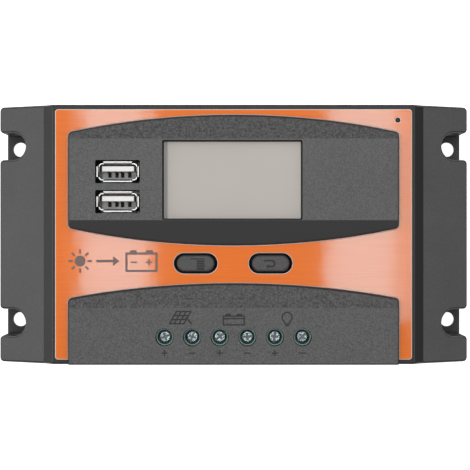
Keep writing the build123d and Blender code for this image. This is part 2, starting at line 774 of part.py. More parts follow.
with BuildPart() as mosfet_screws:
    with BuildSketch(Plane.XY.offset(pad_top + tab_size[2])):
        with Locations(*[(x, fet_hole_y) for x in fet_columns]):
            Circle(fet_head[0])
    extrude(amount=fet_head[1])
    with BuildSketch(Plane.XY.offset(0.2)):
        with Locations(*[(x, fet_hole_y) for x in fet_columns]):
            Circle(fet_tap - running_gap)
    extrude(amount=pad_top + tab_size[2] - 0.2)
    with BuildSketch(Plane.XY.offset(pad_top + tab_size[2] + 1.0)):
        with Locations(*[(x, fet_hole_y) for x in fet_columns]):
            Rectangle(*fet_recess)
            Rectangle(*reversed(fet_recess))
    extrude(amount=2, mode=Mode.SUBTRACT)
mosfet_screws.part.label = "mosfet_screws"
export_step(mosfet_screws.part, "parts/mosfet_screws.step")

# ---------------------------------------------------------------------------
# Circuit board and the parts on it
# ---------------------------------------------------------------------------
with BuildPart() as main_board:
    with BuildSketch(Plane.XY.offset(board_back)):
        RectangleRounded(board_length, board_width, 1.0)
        with Locations(*board_screw_places):
            Circle(board_hole, mode=Mode.SUBTRACT)
        with Locations((lcd_centre[0], pin_row_y)):
            with GridLocations(lcd_pin_pitch, 1, lcd_pin_count, 1):
                Circle(0.45, mode=Mode.SUBTRACT)
        with Locations(*lead_places):
            Circle(0.6, mode=Mode.SUBTRACT)
        with Locations(*[(x, bar_end - pin_size[1] / 2) for x in terminal_xs]):
            Circle(0.85, mode=Mode.SUBTRACT)
        for y in usb_places.values():
            with Locations((usb_x, y)):
                with GridLocations(usb_body[0] - usb_sheet, 1, 2, 1):
                    Rectangle(0.8, 2.6, mode=Mode.SUBTRACT)
    extrude(amount=board_front - board_back)
main_board.part.label = "main_board"
export_step(main_board.part, "parts/main_board.step")

screw_head_size = (2.7, 1.8)
screw_length = 10.0
cross_recess = (3.0, 0.7)
cross_depth = 1.0

with BuildPart() as board_screws:
    with BuildSketch(Plane.XY.offset(board_back - screw_head_size[1])):
        with Locations(*board_screw_places):
            Circle(screw_head_size[0])
    extrude(amount=screw_head_size[1])
    with BuildSketch(Plane.XY.offset(board_back)):
        with Locations(*board_screw_places):
            Circle(screw_thread)
    extrude(amount=screw_length)
    with BuildSketch(Plane.XY.offset(board_back - screw_head_size[1])):
        with Locations(*board_screw_places):
            Rectangle(*cross_recess)
            Rectangle(*reversed(cross_recess))
    extrude(amount=cross_depth, mode=Mode.SUBTRACT)
board_screws.part.label = "board_screws"
export_step(board_screws.part, "parts/board_screws.step")

# Countersunk screws from behind, into the bosses of the cover.
sunk_top = 0.1
sunk_radius = 2.75
cover_screw_end = 13.0

with BuildPart() as cover_screw:
    with BuildSketch(Plane.XZ):
        with BuildLine():
            Polyline(
                (0, sunk_top),
                (sunk_radius, sunk_top),
                (screw_thread, sunk_top + sunk_radius - screw_thread),
                (screw_thread, cover_screw_end),
                (0, cover_screw_end),
                close=True,
            )
        make_face()
    revolve(axis=Axis.Z)
    with BuildSketch(Plane.XY):
        Rectangle(*cross_recess)
        Rectangle(*reversed(cross_recess))
    extrude(amount=cross_depth, mode=Mode.SUBTRACT)

with BuildPart() as cover_screws:
    with GridLocations(*plate_screw_spacing, 2, 2):
        add(cover_screw.part)
cover_screws.part.label = "cover_screws"
export_step(cover_screws.part, "parts/cover_screws.step")

capacitor_places = [(41.0, 24.0), (41.0, 12.0)]
capacitor_radius = 5.0
capacitor_height = 12.5

with BuildPart() as capacitors:
    with BuildSketch(Plane.XY.offset(board_front)):
        with Locations(*capacitor_places):
            Circle(capacitor_radius)
    extrude(amount=capacitor_height)
    fillet(capacitors.faces().group_by(Axis.Z)[-1].edges(), radius=0.6)
capacitors.part.label = "capacitors"
export_step(capacitors.part, "parts/capacitors.step")

# Toroidal choke: a ring of ferrite with wire turns round it.
choke_place = (49.5, -12.0)
core_section = (4.5, 7.0)
core_radius = 6.6
wire = 0.8
choke_height = board_front + wire + core_section[1] / 2
turn_count = 16

with BuildPart() as inductor_core:
    with BuildSketch(Plane.XY.offset(choke_height - core_section[1] / 2)):
        with Locations(choke_place):
            Circle(core_radius + core_section[0] / 2)
            Circle(core_radius - core_section[0] / 2, mode=Mode.SUBTRACT)
    extrude(amount=core_section[1])
inductor_core.part.label = "inductor_core"
export_step(inductor_core.part, "parts/inductor_core.step")

with BuildPart() as winding_turn:
    with BuildSketch(Plane.XZ):
        with Locations((core_radius, 0)):
            Rectangle(core_section[0] + 2 * wire, core_section[1] + 2 * wire)
            Rectangle(core_section[0] + 0.05, core_section[1] + 0.05, mode=Mode.SUBTRACT)
    revolve(axis=Axis.Z, revolution_arc=9)

with BuildPart() as inductor_winding:
    with Locations((*choke_place, choke_height)):
        with PolarLocations(0, turn_count):
            add(winding_turn.part)
inductor_winding.part.label = "inductor_winding"
export_step(inductor_winding.part, "parts/inductor_winding.step")

coil_place = (-47.5, -7.0)
coil_side = 9.0
coil_height = 4.2

with BuildPart() as usb_coil:
    with BuildSketch(Plane.XY.offset(board_front)):
        with Locations(coil_place):
            Rectangle(coil_side, coil_side)
    extrude(amount=coil_height)
    chamfer(usb_coil.edges().filter_by(Axis.Z), length=1.4)
usb_coil.part.label = "usb_coil"
export_step(usb_coil.part, "parts/usb_coil.step")

chip_place = (0.0, 18.0)
chip_side = 10.0
chip_height = 1.4
chip_lift = 0.15
chip_lead = (1.2, 0.35)
chip_lead_pitch = 0.8
chip_lead_count = 11

with BuildPart() as controller_chip:
    with BuildSketch(Plane.XY.offset(board_front + chip_lift)):
        with Locations(chip_place):
            Rectangle(chip_side, chip_side)
    extrude(amount=chip_height)
    chamfer(controller_chip.faces().sort_by(Axis.Z)[-1].edges(), length=0.25)
controller_chip.part.label = "controller_chip"
export_step(controller_chip.part, "parts/controller_chip.step")

with BuildPart() as chip_leads:
    with BuildSketch(Plane.XY.offset(board_front)):
        with Locations(chip_place):
            for side in (-1, 1):
                with Locations((side * (chip_side + chip_lead[0]) / 2, 0)):
                    with GridLocations(1, chip_lead_pitch, 1, chip_lead_count):
                        Rectangle(*chip_lead)
                with Locations((0, side * (chip_side + chip_lead[0]) / 2)):
                    with GridLocations(chip_lead_pitch, 1, chip_lead_count, 1):
                        Rectangle(*reversed(chip_lead))
    extrude(amount=0.6)
chip_leads.part.label = "chip_leads"
export_step(chip_leads.part, "parts/chip_leads.step")

driver_places = [(-26.0, -12.0), (0.0, -12.0), (26.0, -12.0), (-54.0, 7.0)]
driver_size = (4.9, 3.9, 1.6)

with BuildPart() as driver_chips:
    with BuildSketch(Plane.XY.offset(board_front)):
        with Locations(*driver_places):
            Rectangle(driver_size[0], driver_size[1])
    extrude(amount=driver_size[2])
    chamfer(driver_chips.faces().filter_by(Axis.Z).group_by(Axis.Z)[-1].edges(), length=0.3)
driver_chips.part.label = "driver_chips"
export_step(driver_chips.part, "parts/driver_chips.step")

# Shunts: metal bridges that stand on two feet.
shunt_places = [(-8.0, -24.0), (8.0, -24.0)]
shunt_size = (9.0, 3.0, 2.6)
shunt_sheet = 0.9

with BuildPart() as shunt_resistors:
    with BuildSketch(Plane.XY.offset(board_front)):
        with Locations(*shunt_places):
            Rectangle(shunt_size[0], shunt_size[1])
    extrude(amount=shunt_size[2])
    with BuildSketch(Plane.XY.offset(board_front)):
        with Locations(*shunt_places):
            Rectangle(shunt_size[0] - 2 * shunt_sheet, shunt_size[1])
    extrude(amount=shunt_size[2] - shunt_sheet, mode=Mode.SUBTRACT)
shunt_resistors.part.label = "shunt_resistors"
export_step(shunt_resistors.part, "parts/shunt_resistors.step")

fuse_places = [(-24.0, -24.0), (24.0, -24.0)]
fuse_size = (10.0, 3.2, 3.0)

with BuildPart() as fuses:
    with BuildSketch(Plane.XY.offset(board_front)):
        with Locations(*fuse_places):
            Rectangle(fuse_size[0], fuse_size[1])
    extrude(amount=fuse_size[2])
    chamfer(fuses.edges().filter_by(Axis.X), length=0.3)
fuses.part.label = "fuses"
export_step(fuses.part, "parts/fuses.step")

# Small surface mounted parts, in a block under the display and one at each end.
large_chip = (2.0, 1.25)
small_chip = (1.6, 0.8)

with BuildPart() as surface_parts:
    with BuildSketch(Plane.XY.offset(board_front)):
        with Locations((0.0, 30.0)):
            with GridLocations(5.0, 4.0, 8, 2):
                Rectangle(*large_chip)
        with Locations((-50.0, -27.0), (50.0, -27.0)):
            with GridLocations(4.0, 3.2, 3, 3):
                Rectangle(*small_chip)
    extrude(amount=0.7)
surface_parts.part.label = "surface_parts"
export_step(surface_parts.part, "parts/surface_parts.step")
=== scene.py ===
import json
import math

import bmesh
import bpy
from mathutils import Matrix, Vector


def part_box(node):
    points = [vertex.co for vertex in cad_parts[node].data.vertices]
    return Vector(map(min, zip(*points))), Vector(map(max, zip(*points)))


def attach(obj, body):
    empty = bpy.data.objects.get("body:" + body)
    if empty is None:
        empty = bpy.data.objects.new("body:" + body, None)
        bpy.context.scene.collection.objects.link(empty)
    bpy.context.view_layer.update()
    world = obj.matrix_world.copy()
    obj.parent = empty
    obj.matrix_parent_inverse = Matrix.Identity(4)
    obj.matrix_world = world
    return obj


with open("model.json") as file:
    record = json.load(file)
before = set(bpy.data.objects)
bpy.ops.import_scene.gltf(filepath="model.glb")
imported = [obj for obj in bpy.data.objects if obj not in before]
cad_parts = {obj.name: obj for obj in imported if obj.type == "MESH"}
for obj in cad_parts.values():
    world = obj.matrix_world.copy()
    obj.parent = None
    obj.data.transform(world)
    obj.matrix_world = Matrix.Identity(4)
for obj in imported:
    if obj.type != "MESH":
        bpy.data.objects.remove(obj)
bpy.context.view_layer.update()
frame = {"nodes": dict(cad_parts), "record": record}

# Everything is in metres, in the frame of the model: z = 0 is the mounting plane, +Z points out of the
# face, +Y towards the edge with the display.
MM = 0.001

# Camera: straight above the face, as far away as the perspective of the ears says.
CAMERA_HEIGHT = 0.608
CAMERA_OFFSET = (0.0005, -0.0002)
CAMERA_LENS = 127.0
CAMERA_SENSOR = 36.0

nodes = frame["nodes"]
face_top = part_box("face_overlay")[1].z
panel_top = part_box("front_cover")[1].z
print_thickness = 0.02 * MM

# Nearly all values of a noise pattern lie between these.
NOISE_LOW, NOISE_HIGH = 0.3, 0.7


# ---------------------------------------------------------------------------
# Materials
# ---------------------------------------------------------------------------
class Surface:
    """A Principled material in the making. Sizes of patterns are in metres."""

    def __init__(self, name, color, roughness, metallic=0.0, specular=0.5):
        self.material = bpy.data.materials.new(name)
        self.material.use_nodes = True
        self.tree = self.material.node_tree
        self.shader = self.tree.nodes["Principled BSDF"]
        self.place = self.add("ShaderNodeTexCoord").outputs["Object"]
        self.set("Base Color", (*color, 1.0))
        self.set("Roughness", roughness)
        self.set("Metallic", metallic)
        self.set("Specular IOR Level", specular)
        self.normal = None

    def add(self, kind, **settings):
        node = self.tree.nodes.new(kind)
        for key, value in settings.items():
            setattr(node, key, value)
        return node

    def set(self, socket, value):
        self.shader.inputs[socket].default_value = value

    def link(self, output, socket):
        self.tree.links.new(output, socket)

    def to(self, socket, output):
        self.link(output, self.shader.inputs[socket])

    def feed(self, value, socket):
        """Link an output to this socket, or set the socket to a number or a colour."""
        if isinstance(value, bpy.types.NodeSocket):
            self.link(value, socket)
        else:
            socket.default_value = (*value, 1.0) if isinstance(value, tuple) else value

    def scaled(self, size, stretch):
        """The place counted in features of this size, longer along the stretched axes."""
        mapping = self.add("ShaderNodeMapping")
        mapping.inputs["Scale"].default_value = [1.0 / (size * s) for s in stretch]
        self.link(self.place, mapping.inputs["Vector"])
        return mapping.outputs["Vector"]

    def noise(self, size, detail=2.0, stretch=(1.0, 1.0, 1.0), roughness=0.5):
        """Cloudy pattern whose features are about this size."""
        place = self.scaled(size, stretch)
        node = self.add("ShaderNodeTexNoise")
        node.inputs["Scale"].default_value = 1.0
        node.inputs["Detail"].default_value = detail
        node.inputs["Roughness"].default_value = roughness
        self.link(place, node.inputs["Vector"])
        return node.outputs["Fac"]

    def borders(self, size, stretch):
        """Distance to the nearest border between random cells of about this size."""
        place = self.scaled(size, stretch)
        node = self.add("ShaderNodeTexVoronoi", feature="DISTANCE_TO_EDGE")
        node.inputs["Scale"].default_value = 1.0
        self.link(place, node.inputs["Vector"])
        return node.outputs["Distance"]

    def remap(self, value, low, high, to_low=0.0, to_high=1.0):
        node = self.add("ShaderNodeMapRange")
        node.inputs["From Min"].default_value = low
        node.inputs["From Max"].default_value = high
        node.inputs["To Min"].default_value = to_low
        node.inputs["To Max"].default_value = to_high
        self.link(value, node.inputs["Value"])
        return node.outputs["Result"]

    def math(self, operation, *values):
        """Sum, product and so on of numbers, each of them a number or an output."""
        node = self.add("ShaderNodeMath", operation=operation)
        for value, socket in zip(values, node.inputs):
            self.feed(value, socket)
        return node.outputs["Value"]

    def weigh(self, first, share, second):
        """Sum of two patterns: this share of the first one and the rest from the second."""
        return self.math("MULTIPLY_ADD", first, share, self.math("MULTIPLY", second, 1 - share))

    def blend(self, share, first, second):
        """Blend of two numbers, each of them a number or an output."""
        node = self.add("ShaderNodeMix", data_type="FLOAT")
        self.link(share, node.inputs["Factor"])
        self.feed(first, node.inputs[2])
        self.feed(second, node.inputs[3])
        return node.outputs[0]

    def mix(self, share, first, second):
        """Blend of two colours, each of them a tuple or an output."""
        node = self.add("ShaderNodeMix", data_type="RGBA")
        self.link(share, node.inputs["Factor"])
        self.feed(first, node.inputs[6])
        self.feed(second, node.inputs[7])
        return node.outputs[2]

    def facing(self, axis):
        """The surface's own direction along an axis, from -1 to 1."""
        split = self.add("ShaderNodeSeparateXYZ")
        self.link(self.add("ShaderNodeNewGeometry").outputs["Normal"], split.inputs["Vector"])
        return split.outputs[axis]

    def along(self, axis):
        """Where the point lies along an axis, in metres."""
        split = self.add("ShaderNodeSeparateXYZ")
        self.link(self.place, split.inputs["Vector"])
        return split.outputs[axis]

    def deep(self, level, reach=0.6 * MM):
        """Share that grows from 0 at this level to 1 a little below it."""
        return self.remap(self.along("Z"), level, level - reach)

    def bump(self, height, depth):
        """Relief of this depth in metres, on top of any relief that is there already."""
        node = self.add("ShaderNodeBump")
        node.inputs["Strength"].default_value = 1.0
        node.inputs["Distance"].default_value = depth
        self.link(height, node.inputs["Height"])
        if self.normal is not None:
            self.link(self.normal, node.inputs["Normal"])
        self.normal = node.outputs["Normal"]
        self.to("Normal", self.normal)


def shade(color, factor):
    return tuple(min(1.0, c * factor) for c in color)


def moulded(name, color, roughness, grain=0.4 * MM, depth=0.02 * MM):
    """Moulded plastic: fine grain, faint clouds in its colour and uneven gloss."""
    s = Surface(name, color, roughness)
    clouds = s.noise(9 * MM, detail=3.0)
    speckle = s.noise(grain, detail=2.0)
    tone = s.weigh(speckle, 0.6, clouds)
    s.to("Base Color", s.mix(tone, shade(color, 0.88), shade(color, 1.12)))
    s.to("Roughness", s.remap(speckle, NOISE_LOW, NOISE_HIGH, roughness - 0.06, roughness + 0.06))
    s.bump(speckle, depth)
    return s


def metal(name, color, roughness):
    """Plated or drawn metal with fine lines along X and duller clouds."""
    s = Surface(name, color, roughness, metallic=1.0)
    lines = s.noise(0.12 * MM, detail=2.0, stretch=(12.0, 1.0, 1.0))
    clouds = s.noise(2.5 * MM, detail=4.0, roughness=0.6)
    s.to("Base Color", s.mix(clouds, shade(color, 0.86), shade(color, 1.08)))
    s.to("Roughness", s.remap(s.math("ADD", lines, clouds), 0.7, 1.3, roughness - 0.1, roughness + 0.12))
    s.bump(lines, 0.003 * MM)
    return s


def glossy(name, color, roughness):
    """Smooth plastic, glaze or varnish that is never quite flat."""
    s = Surface(name, color, roughness)
    clouds = s.noise(3 * MM, detail=3.0)
    s.to("Base Color", s.mix(clouds, shade(color, 0.9), shade(color, 1.1)))
    s.set("Coat Weight", 0.6)
    s.set("Coat Roughness", 0.12)
    s.bump(clouds, 0.004 * MM)
    return s


CASE_COLOR = (0.088, 0.088, 0.090)
# Each pair is a direction of the face, from where a finish starts to where it is whole. The finishes are
# grain and gloss, painted shade and painted highlights.
SLOPE_UP = (0.08, 0.16)
SLOPE_DOWN = (-0.08, -0.16)
LEFT_EAR, RIGHT_EAR = (-0.3, -0.4), (0.3, 0.4)
LEFT_RAMP, RIGHT_RAMP = (-0.55, -0.65), (0.55, 0.65)
UPRIGHT = (0.40, 0.25)
RIM_STEEP_SIDE, RIM_FLAT_SIDE = (0.38, 0.5), (0.68, 0.6)
PANEL_RIM = (0.92, 0.8)
LEVEL = (0.9, 0.95)
# How bright the case is painted on each kind of face, next to its flats: painted shade on the slopes, the
# ramps and the upright walls.
SLOPE_UP_SHADE_TONE = 0.62
SLOPE_DOWN_SHADE_TONE = 0.30
LEFT_RAMP_SHADE_TONE = 0.36
RIGHT_RAMP_SHADE_TONE = 0.06
WALL_SHADE_TONE = 0.40
# Painted highlight on the rounded rims below the face, painted shade on the rounded rims of the raised
# panels.
RIM_HIGHLIGHT_TONE = 2.4
PANEL_RIM_SHADE_TONE = 0.25
# Painted shade on the level face round the overlay and everything level below it.
FACE_BAND_SHADE_TONE = 0.12


def case_plastic():
    """Spark-eroded black plastic. The slopes towards +Y are coarse, the ones towards -Y are polished. Its
    colour carries painted shade on the slopes, ramps, upright walls, panel rims and level face, and a painted
    highlight on the rounded rims below the face.
    """
    s = Surface("case_plastic", CASE_COLOR, 0.5)
    clouds = s.noise(14 * MM, detail=3.0)
    grain = s.noise(0.42 * MM, detail=2.0, roughness=0.6)
    coarse = s.noise(0.75 * MM, detail=2.0, roughness=0.7)
    across, along, outward = s.facing("X"), s.facing("Y"), s.facing("Z")
    up = s.remap(along, *SLOPE_UP)
    down = s.remap(along, *SLOPE_DOWN)
    ear = s.math("MAXIMUM", s.remap(across, *LEFT_EAR), s.remap(across, *RIGHT_EAR))
    fine_tone = s.remap(grain, NOISE_LOW, NOISE_HIGH, 0.80, 1.20)
    tone = s.blend(ear, s.remap(grain, NOISE_LOW, NOISE_HIGH, 0.50, 1.50), fine_tone)
    tone = s.math("MULTIPLY", tone, s.remap(clouds, NOISE_LOW, NOISE_HIGH, 0.95, 1.05))
    # Painted shade: over a coarse grain on the slopes towards +Y, plain on the slopes towards -Y.
    rough_tone = s.remap(coarse, NOISE_LOW, NOISE_HIGH, 0.1 * SLOPE_UP_SHADE_TONE, 1.9 * SLOPE_UP_SHADE_TONE)
    tone = s.blend(up, tone, rough_tone)
    tone = s.blend(down, tone, SLOPE_DOWN_SHADE_TONE)
    # Painted shade on the ramps, much darker on the right one.
    tone = s.math("MULTIPLY", tone, s.remap(across, *LEFT_RAMP, 1.0, LEFT_RAMP_SHADE_TONE))
    tone = s.math("MULTIPLY", tone, s.remap(across, *RIGHT_RAMP, 1.0, RIGHT_RAMP_SHADE_TONE))
    # Painted shade on the upright walls.
    wall = s.remap(outward, *UPRIGHT)
    tone = s.math("MULTIPLY", tone, s.blend(wall, 1.0, WALL_SHADE_TONE))
    # Painted highlight on the rounded rims below the face.
    rim_highlight = s.math("MULTIPLY", s.remap(outward, *RIM_STEEP_SIDE), s.remap(outward, *RIM_FLAT_SIDE))
    tone = s.blend(s.math("MULTIPLY", rim_highlight, s.deep(face_top - 0.9 * MM)), tone, RIM_HIGHLIGHT_TONE)
    # Painted shade on the rounded rims of the raised panels.
    on_panel = s.remap(s.along("Z"), face_top, face_top + 0.2 * MM)
    panel_rim_shade = s.math("MULTIPLY", s.remap(outward, *PANEL_RIM), on_panel)
    tone = s.blend(panel_rim_shade, tone, PANEL_RIM_SHADE_TONE)
    # Painted shade on the level face round the overlay and below it.
    level_shade_share = s.math("MULTIPLY", s.remap(outward, *LEVEL), s.deep(face_top + 0.1 * MM, 0.1 * MM))
    tone = s.blend(level_shade_share, tone, FACE_BAND_SHADE_TONE)
    s.to("Base Color", s.mix(s.math("MULTIPLY", tone, 0.5), (0.0, 0.0, 0.0), shade(CASE_COLOR, 2.0)))
    gloss = s.blend(down, s.remap(grain, NOISE_LOW, NOISE_HIGH, 0.44, 0.56), 0.32)
    s.to("Roughness", gloss)
    level = s.math("SUBTRACT", 1.0, down)
    s.bump(s.math("MULTIPLY", grain, level), 0.02 * MM)
    s.bump(s.math("MULTIPLY", coarse, up), 0.06 * MM)
    return s


OVERLAY_COLOR = (1.0, 0.207, 0.026)
OVERLAY_EDGE_COLOR = (0.95, 0.86, 0.80)
# The clear varnish reflects less red than blue.
OVERLAY_SHEEN = (0.26, 0.87, 1.0)


def overlay():
    """Printed sheet under a clear gloss: fine lines along X, a wavy face and pale cut edges."""
    s = Surface("overlay", OVERLAY_COLOR, 0.07, specular=0.53)
    lines = s.noise(0.35 * MM, detail=2.0, stretch=(60.0, 1.0, 1.0))
    clouds = s.noise(16 * MM, detail=2.0)
    waves = s.noise(9 * MM, detail=1.5)
    tone = s.weigh(s.remap(lines, NOISE_LOW, NOISE_HIGH), 0.7, clouds)
    printed = s.mix(tone, shade(OVERLAY_COLOR, 0.9), shade(OVERLAY_COLOR, 1.1))
    cut = s.remap(s.facing("Z"), 0.97, 0.9)
    s.to("Base Color", s.mix(cut, printed, OVERLAY_EDGE_COLOR))
    s.set("Specular Tint", (*OVERLAY_SHEEN, 1.0))
    s.bump(waves, 0.03 * MM)
    s.bump(lines, 0.0014 * MM)
    return s


LCD_COLOR = (0.475, 0.430, 0.390)
# How far the glass reaches under the case, and how wide the painted shadow beside the left edge of the window
# is.
LCD_MARGIN = 4.35 * MM
LCD_SHADE_WIDTH = 1.6 * MM


def lcd():
    """Blank display: a grey-beige polariser with a faint mottle, and a painted shadow of the window's left
    side beside its left edge.
    """
    s = Surface("lcd", LCD_COLOR, 0.35)
    clouds = s.noise(12 * MM, detail=2.0)
    speckle = s.noise(0.25 * MM, detail=2.0)
    tone = s.weigh(clouds, 0.75, speckle)
    plain = s.mix(tone, shade(LCD_COLOR, 0.95), shade(LCD_COLOR, 1.05))
    # Painted shadow beside the left edge of the window.
    shade_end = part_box("lcd_glass")[0].x + LCD_MARGIN + LCD_SHADE_WIDTH
    clear = s.remap(s.along("X"), shade_end - 0.6 * MM, shade_end)
    s.to("Base Color", s.mix(clear, shade(LCD_COLOR, 0.45), plain))
    s.set("Coat Weight", 0.5)
    s.set("Coat Roughness", 0.3)
    s.bump(speckle, 0.002 * MM)
    return s


def board():
    """Solder mask over copper tracks."""
    green = (0.012, 0.12, 0.045)
    s = Surface("board", green, 0.35)
    tracks = s.borders(4 * MM, (1.6, 1.0, 4.0))
    track = s.remap(tracks, 0.05, 0.07)
    weave = s.noise(0.5 * MM, detail=1.0)
    s.to("Base Color", s.mix(track, shade(green, 1.9), green))
    s.set("Coat Weight", 0.7)
    s.set("Coat Roughness", 0.15)
    s.bump(track, -0.02 * MM)
    s.bump(weave, 0.004 * MM)
    return s


def wire():
    """Enamelled copper turns."""
    s = Surface("copper", (0.62, 0.22, 0.08), 0.3, metallic=1.0)
    strands = s.noise(0.3 * MM, detail=1.0)
    s.to("Base Color", s.mix(strands, (0.5, 0.16, 0.05), (0.75, 0.3, 0.12)))
    s.set("Coat Weight", 0.8)
    s.bump(strands, 0.02 * MM)
    return s


def darker_below(s, color, level, grey, reach=0.6 * MM):
    """Keep this colour above a level and turn it to a plain grey below: painted shade, not light."""
    s.to("Base Color", s.mix(s.deep(level, reach), color, (grey, grey, grey)))


def usb_steel():
    """Thin bright sheet with satin flaps: its cut edges that face out carry a painted highlight and its
    inside is painted dull and dark as shade.
    """
    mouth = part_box("usb_upper_shell")[1].z
    s = Surface("usb_steel", (0.5, 0.49, 0.49), 0.38, metallic=1.0)
    clouds = s.noise(1.2 * MM, detail=3.0)
    lines = s.noise(0.06 * MM, detail=1.0, stretch=(1.0, 12.0, 1.0))
    satin = s.mix(clouds, (0.30, 0.29, 0.295), (0.52, 0.51, 0.51))
    # Painted highlight on the cut edges that face out.
    rim_highlight = s.remap(s.facing("Z"), 0.9, 0.97)
    bright = s.mix(rim_highlight, satin, (0.62, 0.61, 0.61))
    # Painted shade inside the socket.
    darker_below(s, bright, mouth - 1.6 * MM, 0.35)
    s.bump(lines, 0.002 * MM)
    return s


def usb_tongue():
    """White plastic tongue and floor; below the floor it is painted near black as shade, so the slots look
    black.
    """
    floor_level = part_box("usb_upper_contacts")[0].z
    s = Surface("usb_tongue", (0.93, 0.92, 0.90), 0.45)
    clouds = s.noise(3 * MM, detail=2.0)
    white = s.mix(clouds, (0.95, 0.94, 0.925), (1.0, 0.99, 0.975))
    # Painted shade in the slots below the floor.
    darker_below(s, white, floor_level - 0.1 * MM, 0.01, 0.2 * MM)
    s.bump(clouds, 0.01 * MM)
    return s


BUTTON_COLOR = (0.064, 0.064, 0.066)


def button_plastic():
    """Rubbed matt caps; below their tops they are painted black as shade in the gap around them."""
    cap_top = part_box("button_menu_cap")[1].z
    s = Surface("button_plastic", BUTTON_COLOR, 0.5)
    grain = s.noise(0.5 * MM, detail=2.0, roughness=0.6)
    matt = s.mix(s.remap(grain, NOISE_LOW, NOISE_HIGH), shade(BUTTON_COLOR, 0.6), shade(BUTTON_COLOR, 1.4))
    # Painted shade below the cap tops.
    darker_below(s, matt, cap_top - 0.5 * MM, 0.001, 0.3 * MM)
    s.bump(grain, 0.01 * MM)
    return s


def terminal_green():
    """Green housing; the tops of its collars are painted pale as a highlight."""
    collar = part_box("terminal_block")[1].z
    s = Surface("terminal_green", (0.02, 0.10, 0.075), 0.4)
    grain = s.noise(0.4 * MM, detail=2.0)
    body = s.mix(grain, (0.012, 0.065, 0.048), (0.03, 0.13, 0.10))
    pale = s.mix(grain, (0.42, 0.66, 0.58), (0.62, 0.86, 0.78))
    # Painted highlight on the collar tops.
    high = s.remap(s.along("Z"), collar - 0.3 * MM, collar - 0.1 * MM)
    top = s.math("MULTIPLY", s.remap(s.facing("Z"), 0.5, 0.9), high)
    s.to("Base Color", s.mix(top, body, pale))
    s.bump(grain, 0.005 * MM)
    return s


def screw_steel():
    """Zinc plated heads, blotched by handling; below the head tops, the cross recess included, they are
    painted dark as shade.
    """
    head_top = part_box("terminal_screw_1")[1].z
    s = Surface("screw_steel", (0.3, 0.35, 0.38), 0.35, metallic=1.0)
    blotches = s.remap(s.noise(0.42 * MM, detail=3.0, roughness=0.75), 0.38, 0.62)
    zinc = s.mix(blotches, (0.03, 0.06, 0.07), (0.62, 0.74, 0.80))
    # Painted shade below the head tops.
    darker_below(s, zinc, head_top - 0.15 * MM, 0.12, 0.5 * MM)
    s.bump(blotches, 0.01 * MM)
    return s


def light_pipe():
    """Clear rod coloured near black as painted shade, for the dark inside of the case seen through it; darker
    still below its top.
    """
    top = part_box("status_light_pipe")[1].z
    s = Surface("light_pipe", (0.02, 0.02, 0.02), 0.3, specular=0.25)
    clouds = s.noise(1.0 * MM, detail=2.0)
    grey = s.mix(clouds, (0.008, 0.009, 0.009), (0.05, 0.052, 0.052))
    # Painted shade below the top of the rod.
    darker_below(s, grey, top - 0.2 * MM, 0.004, 0.3 * MM)
    s.bump(clouds, 0.004 * MM)
    return s


FINISHES = {
    "case_plastic": case_plastic(),
    "black_plate": moulded("black_plate", (0.045, 0.045, 0.048), 0.5, grain=0.25 * MM, depth=0.008 * MM),
    "overlay": overlay(),
    "gasket": moulded("gasket", (0.02, 0.02, 0.021), 0.75),
    "lcd": lcd(),
    "light_guide": glossy("light_guide", (0.85, 0.87, 0.85), 0.4),
    "holder": moulded("holder", (0.78, 0.78, 0.76), 0.5),
    "pin_metal": metal("pin_metal", (0.78, 0.77, 0.73), 0.3),
    "board": board(),
    "usb_steel": usb_steel(),
    "usb_tongue": usb_tongue(),
    # The contacts are coloured near black: painted shade deep in the sockets, not the colour of gold.
    "contact_gold": metal("contact_gold", (0.05, 0.045, 0.035), 0.4),
    "button_plastic": button_plastic(),
    "switch_black": moulded("switch_black", (0.02, 0.02, 0.02), 0.45),
    "light_pipe": light_pipe(),
    "led": glossy("led", (0.9, 0.88, 0.7), 0.3),
    "terminal_green": terminal_green(),
    "screw_steel": screw_steel(),
    "clamp_steel": metal("clamp_steel", (0.62, 0.62, 0.56), 0.35),
    "chip_black": moulded("chip_black", (0.02, 0.02, 0.021), 0.55, grain=0.15 * MM),
    "tab_metal": metal("tab_metal", (0.72, 0.72, 0.72), 0.35),
    "pad_grey": moulded("pad_grey", (0.25, 0.32, 0.42), 0.7, grain=0.3 * MM),
    "capacitor_sleeve": glossy("capacitor_sleeve", (0.015, 0.02, 0.07), 0.3),
    "ferrite": moulded("ferrite", (0.05, 0.05, 0.052), 0.6, grain=0.2 * MM, depth=0.03 * MM),
    "copper": wire(),
    "fuse_body": glossy("fuse_body", (0.72, 0.68, 0.56), 0.35),
}

for subpart in frame["record"]["subparts"]:
    mesh = nodes[subpart["node"]].data
    mesh.materials.clear()
    mesh.materials.append(FINISHES[subpart["material_slot"]].material)

ink = moulded("ink_dark", (0.19, 0.14, 0.125), 0.6, grain=0.2 * MM, depth=0.002 * MM)
mark_ink = moulded("mark_ink", (0.018, 0.018, 0.019), 0.65, grain=0.2 * MM, depth=0.002 * MM)


# ---------------------------------------------------------------------------
# Printed and moulded signs: flat outlines in millimetres, turned into thin slabs
# ---------------------------------------------------------------------------
def bar(x, y, length, width, angle=0.0):
    """Straight stroke centred on a point."""
    c = math.cos(math.radians(angle))
    s = math.sin(math.radians(angle))
    corners = [(-1, -1), (1, -1), (1, 1), (-1, 1)]
    return [
        (x + a * length / 2 * c - b * width / 2 * s, y + a * length / 2 * s + b * width / 2 * c)
        for a, b in corners
    ]


def stroke(start, end, width):
    """Straight stroke between two points."""
    dx, dy = end[0] - start[0], end[1] - start[1]
    middle = ((start[0] + end[0]) / 2, (start[1] + end[1]) / 2)
    return bar(*middle, math.hypot(dx, dy) + width * 0.6, width, math.degrees(math.atan2(dy, dx)))


